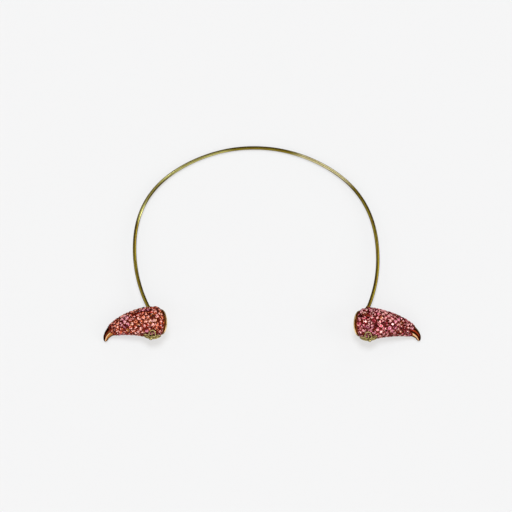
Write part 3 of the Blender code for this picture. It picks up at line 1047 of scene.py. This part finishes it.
def makePlate(horn, finish):
    near = -hornForm["clearance"] - plate["thickness"]
    rounding = plate["rounding"]
    steps = [math.pi / 2 * i / plate["edgeRings"] for i in range(plate["edgeRings"] + 1)]
    rings = []
    for turn in steps:
        inset = rounding * (1 - math.sin(turn))
        push = near + rounding * (1 - math.cos(turn))
        rings.append(horn.ring(0.0, plate["sides"], lift=plate["overhang"] - inset, push=push))
    for turn in reversed(steps):
        inset = rounding * (1 - math.sin(turn))
        push = -hornForm["clearance"] - rounding * (1 - math.cos(turn))
        rings.append(horn.ring(0.0, plate["sides"], lift=plate["overhang"] - inset, push=push))
    mesh = cappedMesh("basePlate_" + horn.side, rings)
    mesh.set_sharp_from_angle(angle=plate["sharpFrom"])
    mesh.materials.append(finish)
    finishMesh("basePlate_" + horn.side, mesh, "gold", "base_plate_" + horn.side)


# The solder that runs up the wire where it enters a horn. Rays along the wire find its foot. They start
# outside the horn, so many radians of the loop from the wire's end.
solder = {
    "raysFrom": 0.16,
    "inside": 0.97,
    "seam": 0.00004,
    "spread": {"left": 0.0003, "right": 0.0009},
    "climb": {"left": 0.0006, "right": 0.0016},
    "sunk": 0.0005,
    "rings": 9,
    "sides": 40,
}


def makeSolder(horn, body, finish):
    skin = BVHTree.FromPolygons(
        [v.co for v in body.data.vertices], [tuple(p.vertices) for p in body.data.polygons]
    )
    end = bandEndAngle()
    deep, outside = -end, -end + solder["raysFrom"]
    if horn.outward < 0:
        deep, outside = math.pi + end, math.pi + end - solder["raysFrom"]
    foot, above = loopPlace + bandPoint(deep), loopPlace + bandPoint(outside)
    up = (above - foot).normalized()
    first = up.orthogonal().normalized()
    second = up.cross(first)
    spread, climb = solder["spread"][horn.side], solder["climb"][horn.side]
    rings = []
    for step in range(-1, solder["rings"]):
        turn = math.pi / 2 * max(step, 0) / (solder["rings"] - 1)
        radius = solder["inside"] * band["diameter"] / 2 + spread * (1 - math.sin(turn))
        height = climb * (1 - math.cos(turn)) - (solder["sunk"] if step < 0 else solder["seam"])
        ring = []
        for i in range(solder["sides"]):
            angle = fullTurn * i / solder["sides"]
            start = above + (first * math.cos(angle) + second * math.sin(angle)) * radius
            hit = skin.ray_cast(start, -up)[0]
            ring.append(hit + up * height)
        rings.append(ring)
    mesh = cappedMesh("solder_" + horn.side, rings)
    mesh.materials.append(finish)
    finishMesh("solder_" + horn.side, mesh, "gold")


def ballMesh(name, middle, radius, segments, levels):  # a ball with its poles up and down
    rings = []
    for i in range(1, levels):
        turn = math.pi * i / levels
        flat, height = radius * math.sin(turn), -radius * math.cos(turn)
        ways = [fullTurn * j / segments for j in range(segments)]
        ring = [middle + Vector((flat * math.cos(way), flat * math.sin(way), height)) for way in ways]
        rings.append(ring)
    up = Vector((0.0, 0.0, radius))
    return shellMesh(name, rings, [], {"inner": middle - up, "outer": middle + up})


# The leaf sprig of bent wire, with a round boss where its leaves meet
def sprigPoint(horn, towardsTip, towardsCrest, lift):
    share = (sprig["along"] + towardsTip) / horn.length
    section = horn.section(max(share, 0.0))
    radius = (section["width"] / 2 + section["crest"]) / 2
    return horn.seat(share, sprig["angle"] - towardsCrest / radius, lift)[0]


def makeSprig(horn, tree, finish):
    paths, cyclic = [], []
    for leaf in sprigLeaves:
        direction = Vector((math.cos(leaf["direction"]), math.sin(leaf["direction"])))
        sideways = Vector((-direction.y, direction.x)) * leaf["width"] / 2
        outline = []
        for i in range(sprig["leafPoints"]):
            turn = fullTurn * i / sprig["leafPoints"]
            flat = direction * leaf["length"] * (1 - math.cos(turn)) / 2 + sideways * math.sin(turn)
            outline.append(sprigPoint(horn, flat.x, flat.y, sprig["over"]))
        rib = []
        for part in np.linspace(0, sprig["ribReach"], sprig["ribPoints"]):
            flat = direction * leaf["length"] * part
            rib.append(sprigPoint(horn, flat.x, flat.y, sprig["over"]))
        paths += [outline, rib]
        cyclic += [True, False]
    name = "leafSprig_" + horn.side
    inputs = {"Wire Diameter": sprig["wire"], "Sides": sprig["sides"], "Finish": finish}
    mesh = grownMesh(name, curveSeed(name, paths, cyclic), tree, inputs)
    lift = hornForm["clearance"] + sprig["boss"] / 2
    middle = horn.seat(sprig["along"] / horn.length, sprig["angle"], lift)[0]
    boss = ballMesh(name + "Boss", middle, sprig["boss"] / 2, sprig["bossSegments"], sprig["bossLevels"])
    bm = bmesh.new()
    bm.from_mesh(mesh)
    bm.from_mesh(boss)
    bm.to_mesh(mesh)
    bm.free()
    bpy.data.meshes.remove(boss)
    finishMesh(name, mesh, "gold", "leaf_sprig_" + horn.side)


# The stage: a plain pale floor with a glow of its own, and one soft sun that lights what is dull. What
# shines mirrors a dim warm studio with softboxes. Azimuths are from +X, and heights are over the floor.
studio = {
    "floorSize": 6.0,
    "floorShades": ((0.215, 0.223, 0.238), (0.211, 0.219, 0.234)),
    "floorGlow": 0.594,
    "floorCloud": 14.0,
    "sun": {"azimuth": 92, "height": 63, "spread": 20, "strength": 2.8},
    "backdrop": (0.91, 0.91, 0.91),
    "ceiling": (0.54, 0.51, 0.42),
    "walls": (0.15, 0.11, 0.06),
    "ceilingFade": (0.70, 0.97),
    "softboxColour": (1.0, 0.97, 0.92),
    "softboxEdge": 8,
    "softboxes": (
        {"azimuth": -4, "height": 26, "half": 16, "strength": 3.8},
        {"azimuth": 60, "height": 28, "half": 14, "strength": 2.2},
        {"azimuth": 128, "height": 36, "half": 9, "strength": 2.4},
        {"azimuth": -168, "height": 30, "half": 16, "strength": 1.8},
        {"azimuth": -128, "height": 52, "half": 8, "strength": 2.2},
        {"azimuth": -90, "height": 16, "half": 36, "strength": 1.0},
    ),
}


def makeFloor():
    finish = Finish("paleFloor")
    cloud = finish.noise(finish.place(), studio["floorCloud"])
    first, second = studio["floorShades"]
    colour = finish.mix(cloud, rgb(*first), rgb(*second))
    finish.set(Base_Color=colour, Roughness=0.9, Specular_IOR_Level=0.0)
    finish.set(Emission_Color=rgb(1, 1, 1), Emission_Strength=studio["floorGlow"])
    bm = bmesh.new()
    bmesh.ops.create_grid(bm, x_segments=1, y_segments=1, size=studio["floorSize"] / 2)
    mesh = bpy.data.meshes.new("floor")
    bm.to_mesh(mesh)
    bm.free()
    mesh.materials.append(finish.material)
    floor = addObject("floor", mesh)
    floor.visible_glossy = False  # the metal mirrors the studio and not the floor


def wayTo(place):
    azimuth, height = math.radians(place["azimuth"]), math.radians(place["height"])
    level = math.cos(height)
    return Vector((math.cos(azimuth) * level, math.sin(azimuth) * level, math.sin(height)))


def makeSun():
    lamp = bpy.data.lights.new("sun", "SUN")
    lamp.energy = studio["sun"]["strength"]
    lamp.angle = math.radians(studio["sun"]["spread"])
    sun = addObject("sun", lamp)
    sun.rotation_euler = wayTo(studio["sun"]).to_track_quat("Z", "Y").to_euler()
    sun.visible_glossy = False  # only the softboxes shine in the metal


def makeStudio():
    world = bpy.data.worlds.new("studio")
    world.use_nodes = True
    bpy.context.scene.world = world
    nodes = Nodes(world.node_tree)
    way = nodes.add("ShaderNodeTexCoord", None, None, "Generated")
    lit = 0.0
    for box in studio["softboxes"]:
        near = math.cos(math.radians(max(box["half"] - studio["softboxEdge"] / 2, 0)))
        far = math.cos(math.radians(box["half"] + studio["softboxEdge"] / 2))
        facing = nodes.vector("DOT_PRODUCT", way, wayTo(box), output="Value")
        lit = lit + nodes.step(facing, far, near) * box["strength"]
    height = nodes.add("ShaderNodeSeparateXYZ", None, {"Vector": way}, "Z")
    overhead = nodes.step(height, *studio["ceilingFade"])
    room = nodes.mix(overhead, rgb(*studio["walls"]), rgb(*studio["ceiling"]))
    boxes = nodes.mix(1.0, rgb(*studio["softboxColour"]), nodes.grey(lit), "MULTIPLY")
    mirrored = nodes.mix(1.0, room, boxes, "ADD")
    camera = nodes.add("ShaderNodeLightPath", None, None, "Is Camera Ray")
    colour = nodes.mix(camera, mirrored, rgb(*studio["backdrop"]))
    nodes.feed(world.node_tree.nodes["Background"].inputs["Color"], colour)
    bpy.context.scene.view_settings.view_transform = "Standard"


# The camera looks straight down. The photograph's frame is 512 pixels wide, with the loop's middle at the
# pixel given here and 0.6 mm a pixel at this level over the floor.
view = {
    "pixels": 512,
    "metresPerPixel": 0.0006,
    "loopPixel": (256.2, 254.0),
    "lens": 220.0,
    "level": 0.006,
}


def makeCamera():
    width = view["pixels"] * view["metresPerPixel"]
    lens = bpy.data.cameras.new("camera")
    lens.lens = view["lens"]
    camera = addObject("camera", lens)
    distance = width * lens.lens / lens.sensor_width
    half = view["pixels"] / 2
    across = (half - view["loopPixel"][0]) * view["metresPerPixel"]
    down = (half - view["loopPixel"][1]) * view["metresPerPixel"]
    camera.location = loopPlace + Vector((across, -down, view["level"] + distance))
    bpy.context.scene.camera = camera


makeFloor()
makeSun()
makeStudio()
makeCamera()
print("stage set")

wireTree = roundWireTree()
bandMetal = bandGold()
makeBand(wireTree, bandMetal)
print("band drawn")

unitStone = bpy.data.objects.new("unitStone", brilliantMesh())
stones, grains = stoneTree(), grainTree()
hornMetal, plateMetal, crystal = hornGold(), plateGold(), pinkCrystal()
grainMetal, sprigMetal, solderMetal = [smallGold(name) for name in smallGolds]
for side in hornSides:
    horn = Horn(side)
    seats = paveSeats(horn)
    body = makeHornBody(horn, seats, hornMetal)
    makeSolder(horn, body, solderMetal if side == "right" else bandMetal)
    makeStones(horn, seats, stones, unitStone, crystal)
    makeGrains(horn, seats, grains, grainMetal)
    makePlate(horn, plateMetal)
    makeSprig(horn, wireTree, sprigMetal)
    print("horn made:", side, len(seats), "stones")
